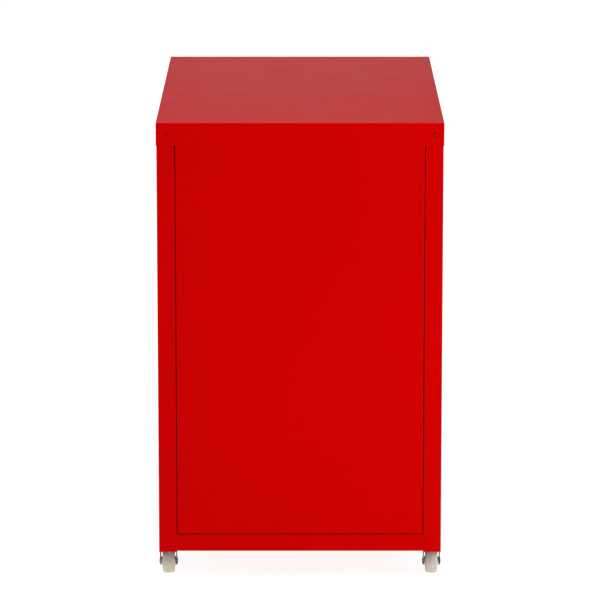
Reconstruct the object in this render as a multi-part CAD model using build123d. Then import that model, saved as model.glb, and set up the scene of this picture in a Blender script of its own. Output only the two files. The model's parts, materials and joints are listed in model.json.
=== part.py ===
from build123d import *
import os
from math import cos, radians, sin

# A mobile three-drawer pedestal filing cabinet of folded sheet steel, on four swivel casters.
# Millimetres. +Z up, drawers open towards -Y, the back cover faces +Y, the floor is Z = 0 and the
# origin is under the middle of the case. "Right" is +X.

os.makedirs("parts", exist_ok=True)

# ---------------------------------------------------------------- case
WIDTH = 381  # letter-size cabinet, 15 in
DEPTH = 630
HEIGHT = 623
SHEET = 0.8  # case and drawer sheet
PLATE = 1.2  # channels and slide members
LIP_HEIGHT = 31  # turned-down edge of the top cover
COLUMN_BOTTOM = 38.4  # underside of the corner columns
COLUMN_WIDTH = 24
BEND = 1.6  # outside radius of a folded edge
TIGHT_BEND = 1.2

HALF_W = WIDTH / 2
HALF_D = DEPTH / 2
COVER_UNDERSIDE = HEIGHT - SHEET
LIP_Z = HEIGHT - LIP_HEIGHT
SKIN_X = HALF_W - SHEET  # outside of the side panels, which stand inside the cover's lip
INNER_X = SKIN_X - SHEET
COLUMN_Y = HALF_D - SHEET  # back face of the rear columns, one sheet inside the back cover
COLUMN_X = SKIN_X - COLUMN_WIDTH
RETURN_DEPTH = 12  # folded-in edges that stiffen a panel
COLUMN_RETURN_Y = 290
CASE_FRONT_Y = -295.2  # front edges of the side panels, behind the drawer fronts
FRONT_FLANGE_X = 176.2

# base: an upside-down tray whose turned-down faces are the bottom rails
RAIL_BOTTOM = 39.6
RAIL_TOP = 63.4
BASE_REAR_Y = COLUMN_Y - SHEET
BASE_FRONT_Y = CASE_FRONT_Y + SHEET
WELD_FLANGE = 11

# back of the cover
PANEL_GAP = 1.0
PANEL_X = COLUMN_X - PANEL_GAP
PANEL_BOTTOM = 64.3

# ---------------------------------------------------------------- cover screws
DIMPLE_X = 177.7
DIMPLE_Z = 607.0
DIMPLE_R = 4.75
DIMPLE_FLOOR_R = 2.6
DIMPLE_DEPTH = 1.8
HEAD_SUNK = 0.25
HEAD_PLAY = 0.45
HEAD_CROSS = 6.0  # length and width of the arms of the cross recess
HEAD_CROSS_WIDE = 1.0
HEAD_CROSS_DEEP = 0.6
SCREW_R = 1.8
SCREW_LENGTH = 11.0
NUT_R = 4.0
NUT_THICK = 3.9

# ---------------------------------------------------------------- drawers
DRAWER_X = 163.0  # outside of a drawer box
DRAWER_REAR_Y = 250.0
FRONT_BACK_Y = -296.2  # back of the drawer fronts
FRONT_X = 189.5
FRONT_GAP = 2.4
FRONT_BOTTOM = 40.4
FILE_FRONT_HEIGHT = 304.0
BOX_FRONT_HEIGHT = 120.2
FILE_BOX_HEIGHT = 250.0
SMALL_BOX_HEIGHT = 92.0
FILE_BOX_RISE = 27.6  # drawer box above the lower edge of its front
SMALL_BOX_RISE = 8.8
FILE_RISES = (125.0, 250.0)  # slides above the box's bottom, pull above the front's lower edge
SMALL_RISES = (28.0, 76.0)
FRONT_SCREW_BELOW = (10.0, 20.0)  # below the slides' middle, and below the box's top
HEM = 4.0  # folded-in top edge of a drawer side
FRONT_FLANGE = 45.0  # width of the side flanges behind a drawer front
FRONT_SCREW_X = 153.0
FRONT_SCREW_HEAD_R = 3.8
FRONT_SCREW_HEAD = 2.0
FRONT_SCREW_ROUNDING = 0.9
FRONT_SCREW_REACH = 4.0  # into the front, from its back

# recessed pulls
CUP_HALF_X = 58.0
CUP_HALF_Z = 19.0
CUP_CORNER = 5.0
CUP_RIM = 4.0
CUP_RIM_THICK = 1.2
CUP_RIM_ROUNDING = 0.6
CUP_BACK_Y = -299.0
CUP_GRIP = 13.0  # how far the grip lip hangs down in front of the recess
CUP_MOUTH_CORNER = 2.0
CUP_PLAY = 0.3

MIDDLE_BOTTOM = FRONT_BOTTOM + FILE_FRONT_HEIGHT + FRONT_GAP
TOP_BOTTOM = MIDDLE_BOTTOM + BOX_FRONT_HEIGHT + FRONT_GAP

# ---------------------------------------------------------------- telescopic slides
SLIDE_OUT_X = 175.7
SLIDE_FRONT_Y = -288.0
OUTER_REAR_Y = 262.0
MIDDLE_FRONT_Y = -286.0
INNER_REAR_Y = 240.0
OUTER_HALF = 22.5  # half heights of the three nested members
MIDDLE_HALF = 18.7
INNER_HALF = 14.9
OUTER_LIP_X = 164.8
MIDDLE_WEB_X = 172.5
MIDDLE_LIP_X = 166.0
INNER_LIP_X = 169.5
BALL_PLAY = 0.2
CAGE_LENGTH = 110.0
UPRIGHT_DEPTH = 28.0
UPRIGHT_FRONT_Y = -270.0
UPRIGHT_REAR_Y = 240.0
CAGE_FROM_LIP = (0.8, 4.4)
RIVET_R = 1.8
RIVET_HEAD_R = 4.0
RIVET_HEAD = 1.2
RIVET_TAIL = 1.5
SIDE_RIVET_YS = (-200.0, 120.0)
SIDE_RIVET_HEAD = 1.0
SIDE_RIVET_TAIL_R = 3.5
HOLE_PLAY = 0.1

# ---------------------------------------------------------------- lock
LOCK_X = 160.0
LOCK_Z = 606.0
LOCK_R = 9.5
LOCK_BEZEL_R = 11.5
LOCK_BEZEL = 1.5
LOCK_BEZEL_ROUNDING = 0.8
LOCK_BACK_Y = -297.0
LOCK_NUT_R = 12.4
LOCK_NUT_THICK = 4.0
LOCK_NUT_HALF_FLATS = 11.0
PLUG_R = 6.0
PLUG_SUNK = 0.3
PLUG_TAIL = 0.2  # the plug and its cam end this far behind the housing
KEYWAY_HALF_WIDE = 0.9
KEYWAY_HALF_TALL = 4.2
KEYWAY_DEEP = 14.0
RUNNING_FIT = 0.05
CAM_R = 12.0
CAM_THICK = 2.5
CAM_FLAT = 7.0  # from the axis to the flat on the side away from the bar
CAM_PIN_ARM = 8.5
CAM_PIN_R = 2.0
CAM_PIN_PLAY = 0.5
CAM_PIN_PROUD = 0.8  # past the back of the lock bar
CAM_SWING = 90.0  # degrees from unlocked to locked
LOCK_TRAVEL = 2 * CAM_PIN_ARM * sin(radians(CAM_SWING / 2))
BAR_FRONT_Y = -292.0
BAR_BACK_Y = -290.0
CATCH_Y = BAR_BACK_Y + 3
BAR_X0 = 178.0
BAR_X1 = 187.5
BAR_TAB_X = 167.0
BAR_AROUND_SLOT = 6.5  # from the middle of the slot to the edges around it
BAR_BELOW_TAB = 14.0
CATCH_X = 173.0
CATCH_RISE = 38.0  # middle of a drawer's catch above the middle of its slides
CATCH_HALF = 4.0
CATCH_THICK = 3.0
CATCH_FOOT = 14.0
TAB_HALF = 4.5
GUIDE_BOTTOMS = (262.0, 452.0, 566.0)
GUIDE_HEIGHT = 10.0
GUIDE_PLAY = 0.3
GUIDE_WALL = 2.4
GUIDE_X0 = 175.9

# ---------------------------------------------------------------- casters
WHEEL_R = 16.5
TREAD_HALF = 8.2
HUB_HALF = 9.9
CASTER_X = 178.0
REAR_SWIVEL_Y = 290.0
FRONT_SWIVEL_Y = -270.0
WHEEL_SHOULDER = 2.8
WEB_HALF = 6.2
WEB_R = (7.0, 11.5)  # inner and outer radius of the dish in each side of a wheel
HUB_R = 5.6
RIM_R = 12.5
TRAIL = 13.0
FORK_HALF = 11.65
FORK_PLATE = 1.5
FORK_EYE_R = 5.7
CROWN_REACH = 15.0
LEG_ROOT = 14.0
CROWN_BOTTOM = 34.2
CROWN_TOP = 36.4
AXLE_R = 2.5
AXLE_HEAD_R = 4.0
AXLE_HEAD = 0.9
AXLE_HEAD_ROUNDING = 0.7
STEM_R = 5.0
STEM_TOP = 52.0
STEM_FLANGE_R = 9.0
STEM_RIVET_R = 7.0
STEM_RIVET = 1.0
STEM_NUT_FLATS = 16.0
STEM_NUT_TOP = 49.5
SWIVEL_PLAY = 0.2
BRACKET_BOTTOM = 39.0
BRACKET_PLATE = 3.0
BRACKET_LEG = 1.5
BRACKET_PLAY = 0.1
BRACKET_REACH = 21.0  # along the case, from the swivel axis

# ---------------------------------------------------------------- drawer furniture
TRAY_FRONT_Y = -292.0
TRAY_REAR_Y = -186.0
TRAY_X = 157.6
TRAY_EAR_X = 161.8
TRAY_EAR = 1.6  # thickness of the ears that rest on the drawer's hems
TRAY_DEEP = 22.0
TRAY_WALL = 1.8
TRAY_CORNER = 3.0
TRAY_PARTITION_X = -20.0
RAIL_X0 = 157.0
RAIL_X1 = 158.6
RAIL_FRONT_Y = -290.0
RAIL_REAR_GAP = 6.0
RAIL_ABOVE = 10.0
RAIL_HEIGHT = 18.0
RAIL_CLIP = 1.4
RAIL_CLIP_HALF = 8.0
RAIL_CLIP_YS = (-270.0, -100.0, 70.0, 226.0)

FAR = 1e4  # past everything, for boxes that choose edges
OVER = 1.0  # how far a cutter runs past the face that it cuts


# ================================================================ helpers
def block(x0, x1, y0, y1, z0, z1):
    """A block between two opposite corners."""
    return Pos((x0 + x1) / 2, (y0 + y1) / 2, (z0 + z1) / 2) * Box(x1 - x0, y1 - y0, z1 - z0)


def rod(axis, radius, start, end, across):
    """A round bar along X, Y or Z from start to end. across holds its other two coordinates."""
    length = end - start
    middle = (start + end) / 2
    turned = {"X": Rot(0, 90, 0), "Y": Rot(90, 0, 0), "Z": Rot(0, 0, 0)}[axis]
    place = {
        "X": Pos(middle, across[0], across[1]),
        "Y": Pos(across[0], middle, across[1]),
        "Z": Pos(across[0], across[1], middle),
    }[axis]
    return place * turned * Cylinder(radius, length)


def hex_nut(flats, start, end, across):
    """A hexagonal prism standing along Z."""
    prism = extrude(RegularPolygon(flats / 2, 6, major_radius=False), end - start)
    return Pos(across[0], across[1], start) * prism


def rounded(part, axis, radius, low=(-FAR, -FAR, -FAR), high=(FAR, FAR, FAR)):
    """The part with its edges along an axis rounded, where their middles lie between two corners."""
    chosen = [
        edge
        for edge in part.edges().filter_by(axis)
        if all(a <= c <= b for a, c, b in zip(low, edge.center(), high))
    ]
    return fillet(chosen, radius)


def left_of(part):
    """The mirror image on the other side of the cabinet."""
    return mirror(part, about=Plane.YZ)


def save(name, *solids):
    """Write one node, made of one solid or of a group of separate like solids."""
    shape = solids[0] if len(solids) == 1 else Compound(children=[s.solid() for s in solids])
    export_step(shape, f"parts/{name}.step")


# ================================================================ case
def dimple(radius_play):
    """The pressed cone in the cover's rear lip that a flat screw head sits in."""
    middle_y = HALF_D - DIMPLE_DEPTH / 2
    cone = Cone(DIMPLE_FLOOR_R + radius_play, DIMPLE_R + radius_play, DIMPLE_DEPTH)
    return Pos(DIMPLE_X, middle_y, DIMPLE_Z) * Rot(-90, 0, 0) * cone


def make_top_back_cover():
    """Top, four turned-down lips and the whole back panel, folded from one sheet."""
    top = block(-HALF_W, HALF_W, -HALF_D, HALF_D, LIP_Z, HEIGHT)
    top = rounded(top, Axis.Z, BEND)
    top = fillet(top.faces().sort_by(Axis.Z)[-1].edges(), BEND)
    inside = block(-SKIN_X, SKIN_X, -COLUMN_Y, COLUMN_Y, LIP_Z, COVER_UNDERSIDE)
    hem = block(-FRONT_FLANGE_X, FRONT_FLANGE_X, -COLUMN_Y, -COLUMN_Y + RETURN_DEPTH, LIP_Z, LIP_Z + SHEET)
    panel = block(-PANEL_X, PANEL_X, HALF_D - RETURN_DEPTH, HALF_D, PANEL_BOTTOM, LIP_Z + SHEET)
    outside = (-FAR, HALF_D - SHEET, 0)
    panel = rounded(panel, Axis.Z, TIGHT_BEND, low=outside)
    panel = rounded(panel, Axis.X, TIGHT_BEND, low=outside, high=(FAR, FAR, LIP_Z - SHEET))
    tray = block(
        -PANEL_X + SHEET,
        PANEL_X - SHEET,
        HALF_D - RETURN_DEPTH,
        COLUMN_Y,
        PANEL_BOTTOM + SHEET,
        LIP_Z + SHEET,
    )
    cover = (top - inside) + hem + (panel - tray)
    sunk = dimple(SHEET)
    cover = cover + sunk + left_of(sunk) - dimple(0) - left_of(dimple(0))
    return cover - rod("Y", LOCK_R + HOLE_PLAY, -HALF_D - OVER, -COLUMN_Y + OVER, (LOCK_X, LOCK_Z))


def make_side_panel():
    """Right side: skin, rear column, front flange and top flange, folded from one sheet."""
    top = COVER_UNDERSIDE
    body = block(FRONT_FLANGE_X, SKIN_X, CASE_FRONT_Y, COLUMN_Y, COLUMN_BOTTOM, top)
    body = body + block(COLUMN_X, SKIN_X, COLUMN_RETURN_Y, COLUMN_Y, COLUMN_BOTTOM, top)
    column_corner = (COLUMN_X - SHEET, COLUMN_Y - SHEET, 0)
    body = rounded(body, Axis.Z, BEND, low=(INNER_X, -FAR, 0))
    body = rounded(body, Axis.Z, TIGHT_BEND, low=column_corner, high=(COLUMN_X + SHEET, FAR, FAR))
    hollow = block(COLUMN_X + SHEET, INNER_X, BASE_FRONT_Y, BASE_REAR_Y, COLUMN_BOTTOM, top - SHEET)
    mouth_x = FRONT_FLANGE_X - OVER
    mouth = block(mouth_x, INNER_X, BASE_FRONT_Y, COLUMN_RETURN_Y, COLUMN_BOTTOM, top - SHEET)
    above = block(mouth_x, FRONT_FLANGE_X + SHEET, BASE_FRONT_Y, COLUMN_RETURN_Y, top - OVER, top)
    dimple_hole = rod("Y", DIMPLE_R + SHEET, BASE_REAR_Y - OVER, COLUMN_Y + OVER, (DIMPLE_X, DIMPLE_Z))
    return body - hollow - mouth - above - dimple_hole


def make_base_pan():
    """The floor of the case. Its turned-down faces are the front and rear bottom rails."""
    side_rear_y = COLUMN_RETURN_Y - PANEL_GAP
    pan = block(-INNER_X, INNER_X, BASE_FRONT_Y, side_rear_y, RAIL_BOTTOM, RAIL_TOP)
    pan = pan + block(-COLUMN_X, COLUMN_X, 0, BASE_REAR_Y, RAIL_BOTTOM, RAIL_TOP)
    pan = rounded(pan, Axis.X, TIGHT_BEND, low=(-FAR, BASE_REAR_Y - SHEET, 0))
    inside_y0, inside_y1 = BASE_FRONT_Y + SHEET, BASE_REAR_Y - SHEET
    pan = pan - block(-HALF_W, HALF_W, inside_y0, inside_y1, COLUMN_BOTTOM, RAIL_TOP - SHEET)
    return_x = COLUMN_X - PANEL_GAP
    for y0, y1 in (
        (BASE_FRONT_Y, BASE_FRONT_Y + RETURN_DEPTH),
        (BASE_REAR_Y - RETURN_DEPTH, inside_y1),
    ):
        pan = pan + block(-return_x, return_x, y0, y1, RAIL_BOTTOM, RAIL_BOTTOM + SHEET)
    flange_z = RAIL_TOP - WELD_FLANGE
    flange = block(INNER_X - SHEET, INNER_X, BASE_FRONT_Y, side_rear_y, flange_z, RAIL_TOP)
    return pan + flange + left_of(flange)


def make_upright(y):
    """A right-hand channel that carries the slides, standing on the base pan."""
    half = UPRIGHT_DEPTH / 2
    top = COVER_UNDERSIDE - SHEET
    channel = block(SLIDE_OUT_X, INNER_X, y - half, y + half, RAIL_TOP, top)
    inside = half - PLATE
    channel = channel - block(SLIDE_OUT_X + PLATE, INNER_X, y - inside, y + inside, RAIL_TOP, top)
    for drawer in DRAWERS:
        web = (SLIDE_OUT_X - OVER, SLIDE_OUT_X + PLATE + OVER)
        channel = channel - rod("X", RIVET_R + HOLE_PLAY, *web, (y, drawer.slide_z))
    return channel


# ================================================================ cover screws
def make_cover_screw():
    """A flat-head cross-recess screw in the right-hand dimple, and its nut behind the column."""
    at = (DIMPLE_X, DIMPLE_Z)
    head = Pos(0, -HEAD_SUNK, 0) * dimple(-HEAD_PLAY)
    shank = rod("Y", SCREW_R, HALF_D - SCREW_LENGTH, HALF_D - DIMPLE_DEPTH, at)
    arm = Box(HEAD_CROSS, 2 * HEAD_CROSS_DEEP, HEAD_CROSS_WIDE)
    cross = Pos(DIMPLE_X, HALF_D - HEAD_SUNK, DIMPLE_Z) * (arm + Rot(0, 90, 0) * arm)
    nut_front = HALF_D - DIMPLE_DEPTH - SHEET - HOLE_PLAY
    nut = rod("Y", NUT_R, nut_front - NUT_THICK, nut_front, at)
    bore = rod("Y", SCREW_R + RUNNING_FIT, nut_front - NUT_THICK - OVER, nut_front + OVER, at)
    return [head + shank - cross, nut - bore]


# ================================================================ slides
def channel_member(web_x, lip_x, half, y0, y1, z):
    """A telescopic slide member: a channel whose web is at web_x and whose lips end at lip_x."""
    low, high = min(web_x, lip_x), max(web_x, lip_x)
    inside = (web_x + PLATE, high) if web_x == low else (low, web_x - PLATE)
    member = block(low, high, y0, y1, z - half, z + half)
    member = rounded(member, Axis.Y, TIGHT_BEND, low=(web_x - OVER, -FAR, 0), high=(web_x + OVER, FAR, FAR))
    return member - block(*inside, y0, y1, z - half + PLATE, z + half - PLATE)


def make_slide_outer(z):
    """The right-hand member fixed to the uprights."""
    member = channel_member(SLIDE_OUT_X, OUTER_LIP_X, OUTER_HALF, SLIDE_FRONT_Y, OUTER_REAR_Y, z)
    for y in (UPRIGHT_FRONT_Y, UPRIGHT_REAR_Y):
        web = (SLIDE_OUT_X - PLATE - OVER, SLIDE_OUT_X + OVER)
        member = member - rod("X", RIVET_R + HOLE_PLAY, *web, (y, z))
    return member


def make_slide_middle(z):
    """The right-hand intermediate member, with the ball cages that keep it centred."""
    member = channel_member(MIDDLE_WEB_X, MIDDLE_LIP_X, MIDDLE_HALF, MIDDLE_FRONT_Y, INNER_REAR_Y, z)
    cage_x0, cage_x1 = (MIDDLE_LIP_X + step for step in CAGE_FROM_LIP)
    outer_race = OUTER_HALF - PLATE - BALL_PLAY
    inner_race = INNER_HALF + BALL_PLAY
    for sign in (1, -1):
        for y0, near, far in (
            (INNER_REAR_Y - CAGE_LENGTH, MIDDLE_HALF, outer_race),
            (MIDDLE_FRONT_Y, inner_race, MIDDLE_HALF - PLATE),
        ):
            low, high = sorted((z + sign * near, z + sign * far))
            member = member + block(cage_x0, cage_x1, y0, y0 + CAGE_LENGTH, low, high)
    return member


def make_slide_inner(z):
    """The right-hand member fixed to the drawer side."""
    member = channel_member(DRAWER_X, INNER_LIP_X, INNER_HALF, SLIDE_FRONT_Y, INNER_REAR_Y, z)
    for y in SIDE_RIVET_YS:
        member = member - rod("X", RIVET_R + HOLE_PLAY, DRAWER_X - OVER, DRAWER_X + PLATE + OVER, (y, z))
    return member


def slide_rivet(y, z):
    """A rivet through the outer member and its upright."""
    web = SLIDE_OUT_X - PLATE
    head = rod("X", RIVET_HEAD_R, web - RIVET_HEAD, web, (y, z))
    return head + rod("X", RIVET_R, web, SLIDE_OUT_X + PLATE + RIVET_TAIL, (y, z))


# ================================================================ drawers
class Drawer:
    """Heights of one drawer, from the lower edge of its front."""

    def __init__(self, name, front_z, front_height, rise, box_height, slide_rise, cup_rise):
        self.name = name
        self.front_z = front_z
        self.front_top = front_z + front_height
        self.box_z = front_z + rise
        self.box_top = self.box_z + box_height
        self.slide_z = self.box_z + slide_rise
        self.catch_z = self.slide_z + CATCH_RISE
        self.cup_z = front_z + cup_rise
        self.screw_zs = (self.slide_z - FRONT_SCREW_BELOW[0], self.box_top - FRONT_SCREW_BELOW[1])


DRAWERS = (
    Drawer("file", FRONT_BOTTOM, FILE_FRONT_HEIGHT, FILE_BOX_RISE, FILE_BOX_HEIGHT, *FILE_RISES),
    Drawer("middle", MIDDLE_BOTTOM, BOX_FRONT_HEIGHT, SMALL_BOX_RISE, SMALL_BOX_HEIGHT, *SMALL_RISES),
    Drawer("top", TOP_BOTTOM, BOX_FRONT_HEIGHT, SMALL_BOX_RISE, SMALL_BOX_HEIGHT, *SMALL_RISES),
)


def front_screw_places(drawer):
    """Where the screws between a drawer box and its front go."""
    return [(x, z) for x in (-FRONT_SCREW_X, FRONT_SCREW_X) for z in drawer.screw_zs]


def make_drawer_box(drawer):
    """Open-topped tray of folded sheet, with hemmed side edges."""
    z0, z1 = drawer.box_z, drawer.box_top
    inside_x = DRAWER_X - SHEET
    tray = block(-DRAWER_X, DRAWER_X, FRONT_BACK_Y, DRAWER_REAR_Y, z0, z1)
    tray = rounded(tray, Axis.Y, TIGHT_BEND, high=(FAR, FAR, z0 + SHEET))
    tray = tray - block(-inside_x, inside_x, FRONT_BACK_Y + SHEET, DRAWER_REAR_Y - SHEET, z0 + SHEET, z1)
    hem = block(DRAWER_X - HEM, DRAWER_X, FRONT_BACK_Y, DRAWER_REAR_Y, z1 - SHEET, z1)
    tray = tray + hem + left_of(hem)
    for at in front_screw_places(drawer):
        tray = tray - rod("Y", SCREW_R + HOLE_PLAY, FRONT_BACK_Y - OVER, FRONT_BACK_Y + SHEET + OVER, at)
    for y in SIDE_RIVET_YS:
        hole = rod("X", RIVET_R + HOLE_PLAY, inside_x - OVER, DRAWER_X + OVER, (y, drawer.slide_z))
        tray = tray - hole - left_of(hole)
    return tray


def make_catch(drawer):
    """Angle welded to the right side of a drawer, which the lock bar's tab stops."""
    z0, z1 = drawer.catch_z - CATCH_HALF, drawer.catch_z + CATCH_HALF
    stop = block(DRAWER_X, CATCH_X, CATCH_Y, CATCH_Y + CATCH_THICK, z0, z1)
    foot = block(DRAWER_X, DRAWER_X + CATCH_THICK / 2, CATCH_Y, CATCH_Y + CATCH_FOOT, z0, z1)
    return stop + foot


def make_drawer_front(drawer):
    """Hollow pan: face, four folded returns and back flanges, with the opening for the pull."""
    z0, z1 = drawer.front_z, drawer.front_top
    pan = block(-FRONT_X, FRONT_X, -HALF_D, FRONT_BACK_Y, z0, z1)
    pan = fillet(pan.faces().sort_by(Axis.Y)[0].edges(), BEND)
    pan = pan - block(
        -FRONT_X + SHEET,
        FRONT_X - SHEET,
        -HALF_D + SHEET,
        FRONT_BACK_Y - SHEET,
        z0 + SHEET,
        z1 - SHEET,
    )
    side = FRONT_X - FRONT_FLANGE
    back = (FRONT_BACK_Y - SHEET - OVER, FRONT_BACK_Y + OVER)
    pan = pan - block(-side, side, *back, z0 + RETURN_DEPTH, z1 - RETURN_DEPTH)
    half_x = CUP_HALF_X - CUP_RIM + CUP_PLAY
    half_z = CUP_HALF_Z - CUP_RIM + CUP_PLAY
    face = (-HALF_D - OVER, -HALF_D + SHEET + OVER)
    pan = pan - block(-half_x, half_x, *face, drawer.cup_z - half_z, drawer.cup_z + half_z)
    for at in front_screw_places(drawer):
        pan = pan - rod("Y", SCREW_R + HOLE_PLAY, *back, at)
    return pan


def make_pull(drawer):
    """Recessed cup pull: a rim on the face, a hollow behind it and a lip that fingers hook over."""
    z = drawer.cup_z
    front_y = -HALF_D - CUP_RIM_THICK
    rim = block(-CUP_HALF_X, CUP_HALF_X, front_y, -HALF_D, z - CUP_HALF_Z, z + CUP_HALF_Z)
    rim = rounded(rim, Axis.Y, CUP_CORNER)
    rim = fillet(rim.faces().sort_by(Axis.Y)[0].edges(), CUP_RIM_ROUNDING)
    half_x = CUP_HALF_X - CUP_RIM
    half_z = CUP_HALF_Z - CUP_RIM
    cup = block(-half_x, half_x, -HALF_D, CUP_BACK_Y, z - half_z, z + half_z)
    inside_x, low, high = half_x - PLATE, z - half_z + PLATE, z + half_z - PLATE
    hollow = block(-inside_x, inside_x, -HALF_D, CUP_BACK_Y - PLATE, low, high)
    mouth = block(-inside_x, inside_x, front_y, -HALF_D, low, z + half_z - CUP_GRIP)
    return rim + cup - hollow - rounded(mouth, Axis.Y, CUP_MOUTH_CORNER)


def drawer_fasteners(drawer):
    """Screws that hold the front on, and rivets that hold the slides on."""
    group = []
    inside = FRONT_BACK_Y + SHEET
    for at in front_screw_places(drawer):
        head = rod("Y", FRONT_SCREW_HEAD_R, inside, inside + FRONT_SCREW_HEAD, at)
        head = fillet(head.faces().sort_by(Axis.Y)[-1].edges(), FRONT_SCREW_ROUNDING)
        group.append(head + rod("Y", SCREW_R, FRONT_BACK_Y - FRONT_SCREW_REACH, inside, at))
    wall_x = DRAWER_X - SHEET
    web_x = DRAWER_X + PLATE
    for y in SIDE_RIVET_YS:
        at = (y, drawer.slide_z)
        rivet = rod("X", RIVET_R, wall_x, web_x, at)
        rivet = rivet + rod("X", RIVET_HEAD_R, web_x, web_x + SIDE_RIVET_HEAD, at)
        rivet = rivet + rod("X", SIDE_RIVET_TAIL_R, wall_x - SIDE_RIVET_HEAD, wall_x, at)
        group += [rivet, left_of(rivet)]
    return group


# ================================================================ drawer furniture
def make_pencil_tray(drawer):
    """Moulded tray that hangs on the hems of the top drawer, with four bays in three rows."""
    top = drawer.box_top + TRAY_EAR
    floor_z = top - TRAY_DEEP + TRAY_WALL
    inside_x = TRAY_X - TRAY_WALL
    tray = block(-TRAY_X, TRAY_X, TRAY_FRONT_Y, TRAY_REAR_Y, top - TRAY_DEEP, top)
    tray = rounded(tray, Axis.Z, TRAY_CORNER)
    whole_row = [(-inside_x, inside_x)]
    divided_row = [(-inside_x, TRAY_PARTITION_X), (TRAY_PARTITION_X + TRAY_WALL, inside_x)]
    rows = [whole_row, divided_row, whole_row]
    bay_deep = (TRAY_REAR_Y - TRAY_FRONT_Y - TRAY_WALL) / len(rows) - TRAY_WALL
    for i, row in enumerate(rows):
        y0 = TRAY_FRONT_Y + TRAY_WALL + i * (bay_deep + TRAY_WALL)
        for x0, x1 in row:
            tray = tray - rounded(block(x0, x1, y0, y0 + bay_deep, floor_z, top), Axis.Z, TRAY_CORNER)
    ear_y0, ear_y1 = TRAY_FRONT_Y + TRAY_CORNER + OVER, TRAY_REAR_Y - TRAY_CORNER - OVER
    ear = block(TRAY_X - OVER, TRAY_EAR_X, ear_y0, ear_y1, top - TRAY_EAR, top)
    return tray + ear + left_of(ear)


def make_hanging_rail(drawer):
    """Right-hand rail for hanging folders, clipped over the hem of the file drawer."""
    z1 = drawer.box_top + RAIL_ABOVE
    rail = block(RAIL_X0, RAIL_X1, RAIL_FRONT_Y, DRAWER_REAR_Y - RAIL_REAR_GAP, z1 - RAIL_HEIGHT, z1)
    for y in RAIL_CLIP_YS:
        y0, y1 = y - RAIL_CLIP_HALF, y + RAIL_CLIP_HALF
        rail = rail + block(RAIL_X0, DRAWER_X - OVER, y0, y1, drawer.box_top, drawer.box_top + RAIL_CLIP)
    return rail


# ================================================================ lock
LOCK_AT = (LOCK_X, LOCK_Z)


def make_lock_body():
    """Threaded cylinder housing with a bezel against the front lip."""
    bezel_y = -HALF_D - LOCK_BEZEL
    barrel = rod("Y", LOCK_R, -HALF_D, LOCK_BACK_Y, LOCK_AT)
    bezel = rod("Y", LOCK_BEZEL_R, bezel_y, -HALF_D, LOCK_AT)
    bezel = fillet(bezel.faces().sort_by(Axis.Y)[0].edges(), LOCK_BEZEL_ROUNDING)
    return barrel + bezel - rod("Y", PLUG_R + RUNNING_FIT, bezel_y - OVER, LOCK_BACK_Y + OVER, LOCK_AT)


def make_lock_nut():
    """Thin nut with two flats that clamps the lock to the lip."""
    back_y = -COLUMN_Y + LOCK_NUT_THICK
    nut = rod("Y", LOCK_NUT_R, -COLUMN_Y, back_y, LOCK_AT)
    x0, x1 = LOCK_X - LOCK_NUT_HALF_FLATS, LOCK_X + LOCK_NUT_HALF_FLATS
    nut = nut & block(x0, x1, -COLUMN_Y, back_y, LOCK_Z - LOCK_NUT_R, LOCK_Z + LOCK_NUT_R)
    return nut - rod("Y", LOCK_R + HOLE_PLAY, -COLUMN_Y - OVER, back_y + OVER, LOCK_AT)


def make_lock_plug():
    """Plug with its keyway, which the key turns."""
    face_y = -HALF_D - LOCK_BEZEL + PLUG_SUNK
    plug = rod("Y", PLUG_R, face_y, LOCK_BACK_Y + PLUG_TAIL, LOCK_AT)
    x0, x1 = LOCK_X - KEYWAY_HALF_WIDE, LOCK_X + KEYWAY_HALF_WIDE
    z0, z1 = LOCK_Z - KEYWAY_HALF_TALL, LOCK_Z + KEYWAY_HALF_TALL
    return plug - block(x0, x1, face_y - OVER, face_y + KEYWAY_DEEP, z0, z1)


def make_lock_cam():
    """Disc cam with the pin that drives the lock bar, drawn in the unlocked position."""
    front = LOCK_BACK_Y + PLUG_TAIL
    back = front + CAM_THICK
    disc = rod("Y", CAM_R, front, back, LOCK_AT)
    angle = radians(-CAM_SWING / 2)
    pin_at = (LOCK_X + CAM_PIN_ARM * cos(angle), LOCK_Z + CAM_PIN_ARM * sin(angle))
    flat = block(LOCK_X - CAM_R, LOCK_X - CAM_FLAT, front, back, LOCK_Z - CAM_R, LOCK_Z + CAM_R)
    pin = rod("Y", CAM_PIN_R, back, BAR_BACK_Y + CAM_PIN_PROUD, pin_at)
    return disc - flat + pin


def make_lock_bar():
    """Bar behind the right front flange, drawn unlocked, with one tab under each drawer's catch."""
    slot_z = LOCK_Z - LOCK_TRAVEL / 2
    pin_near = LOCK_X + CAM_PIN_ARM * cos(radians(CAM_SWING / 2))
    pin_far = LOCK_X + CAM_PIN_ARM
    bottom = DRAWERS[0].catch_z - LOCK_TRAVEL - BAR_BELOW_TAB
    arm_z0, arm_z1 = slot_z - BAR_AROUND_SLOT, slot_z + BAR_AROUND_SLOT
    bar = block(BAR_X0, BAR_X1, BAR_FRONT_Y, BAR_BACK_Y, bottom, arm_z1)
    bar = bar + block(pin_near - BAR_AROUND_SLOT, BAR_X1, BAR_FRONT_Y, BAR_BACK_Y, arm_z0, arm_z1)
    for drawer in DRAWERS:
        z = drawer.catch_z - LOCK_TRAVEL
        bar = bar + block(BAR_TAB_X, BAR_X0, BAR_FRONT_Y, BAR_BACK_Y, z - TAB_HALF, z + TAB_HALF)
    half = CAM_PIN_R + CAM_PIN_PLAY
    through = (BAR_FRONT_Y - OVER, BAR_BACK_Y + OVER)
    return bar - block(pin_near - half, pin_far + half, *through, slot_z - half, slot_z + half)


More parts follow.
